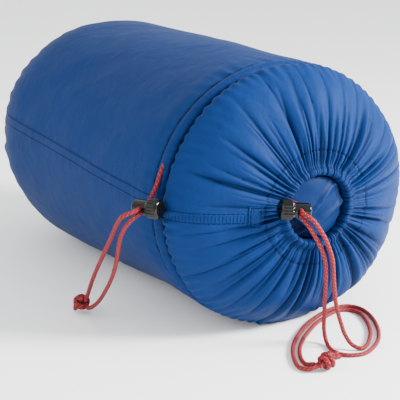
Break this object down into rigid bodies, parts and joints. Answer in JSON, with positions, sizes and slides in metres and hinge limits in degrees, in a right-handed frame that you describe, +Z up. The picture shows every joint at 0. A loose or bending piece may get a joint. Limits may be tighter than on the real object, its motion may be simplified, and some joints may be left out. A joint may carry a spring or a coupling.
{
  "type": "packed rectangular sleeping bag",
  "caption": "Rectangular sleeping bag rolled inside a round drawcord stuff sack with two spring cord locks, lying on its side.",
  "frame": {"origin": "below the middle of the lying sack, on the surface it rests on", "axes": "+X along the sack towards its gathered mouth, +Z up, -Y the side with the seam and the middle cord lock"},
  "size_m": [0.4286, 0.2295, 0.188],
  "materials": {
    "sack_fabric": "smooth woven polyester with a slight sheen",
    "cord_braid": "braided polyester with pale tracer strands",
    "lock_plastic": "glossy moulded",
    "spring_steel": "drawn wire",
    "shell_fabric": "ripstop woven polyester",
    "insulation": "fluffy fibre batt",
    "lining_fabric": "soft brushed weave",
    "zip_tape": "woven tape",
    "zip_plastic": "nylon coil",
    "zip_metal": "dark enamelled die casting"
  },
  "bodies": {
    "sack": {"sack_body": "sack_fabric", "sack_base": "sack_fabric", "sack_collar": "sack_fabric", "mid_channel": "sack_fabric", "mouth_channel": "sack_fabric", "dust_flap": "sack_fabric", "mouth_patch": "sack_fabric", "mid_drawcord": "cord_braid", "mid_tail_a": "cord_braid", "mid_tail_b": "cord_braid", "mid_knot": "cord_braid", "mouth_drawcord": "cord_braid", "mouth_tail_a": "cord_braid", "mouth_tail_b": "cord_braid", "mouth_knot": "cord_braid", "bag_shell": "shell_fabric", "bag_insulation": "insulation", "bag_lining": "lining_fabric", "bag_zip_tape": "zip_tape", "bag_zip_chain": "zip_plastic", "bag_zip_slider": "zip_metal", "bag_fastener_tab": "zip_tape", "bag_loop_left": "zip_tape", "bag_loop_right": "zip_tape"},
    "mid_lock": {"mid_lock_sleeve": "lock_plastic", "mid_lock_spring": "spring_steel"},
    "mid_button": {"mid_lock_button": "lock_plastic"},
    "mouth_lock": {"mouth_lock_sleeve": "lock_plastic", "mouth_lock_spring": "spring_steel"},
    "mouth_button": {"mouth_lock_button": "lock_plastic"},
    "zip_pull": {"bag_zip_slider_pull": "zip_metal"}
  },
  "joints": [
    {"name": "mid_lock_slide", "type": "slide", "parent": "sack", "child": "mid_lock", "axis": [0.356, -0.9039, -0.237], "range_m": [0, 0.0018]},
    {"name": "mid_button_press", "type": "slide", "parent": "mid_lock", "child": "mid_button", "axis": [-0.9341, -0.352, -0.06], "range_m": [0, 0.0022], "stiffness_N_per_m": 500, "deforming": ["mid_lock_spring"]},
    {"name": "mouth_lock_slide", "type": "slide", "parent": "sack", "child": "mouth_lock", "axis": [0.9371, -0.303, -0.173], "range_m": [0, 0.0025]},
    {"name": "mouth_button_press", "type": "slide", "parent": "mouth_lock", "child": "mouth_button", "axis": [0.2851, 0.9504, -0.1241], "range_m": [0, 0.0022], "stiffness_N_per_m": 500, "deforming": ["mouth_lock_spring"]},
    {"name": "zip_pull_swing", "type": "hinge", "parent": "sack", "child": "zip_pull", "pos_m": [0.1531, 0.06402, 0.05724], "axis": [0, 0.8508, -0.5255], "range_deg": [0, 40]}
  ]
}
